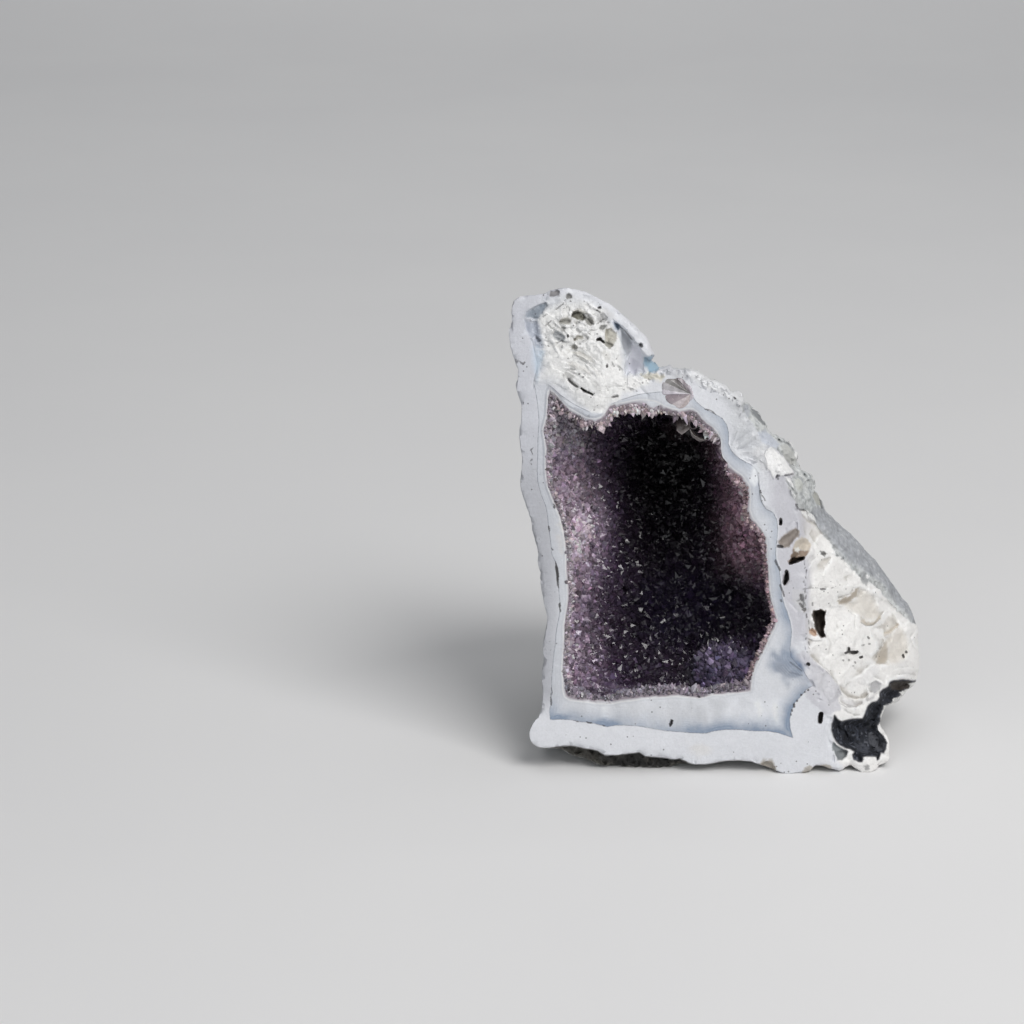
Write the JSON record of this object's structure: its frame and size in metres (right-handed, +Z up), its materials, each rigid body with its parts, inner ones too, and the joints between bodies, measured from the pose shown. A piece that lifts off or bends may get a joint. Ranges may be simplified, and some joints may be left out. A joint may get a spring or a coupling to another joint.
{
  "type": "amethyst geode",
  "caption": "Broken piece of an amethyst geode: a white chalcedony wall with grey-blue agate bands around an open pocket lined with drusy violet crystals.",
  "frame": {"origin": "middle of the bounding box's bottom, on the surface that the geode stands on", "axes": "+Z up, +Y into the rock behind the broken front face, +X to the right as seen facing the pocket; the broken face leans back 14 degrees"},
  "size_m": [0.1458, 0.1054, 0.1604],
  "materials": {
    "geode_stone": "matt white and pale grey chalcedony with grey-blue agate bands, rough grey rind outside",
    "amethyst_druse": "small glassy pale to dark violet quartz crystals with bright flat faces"
  },
  "bodies": {
    "root": {"amethyst_geode": "geode_stone"}
  },
  "joints": []
}
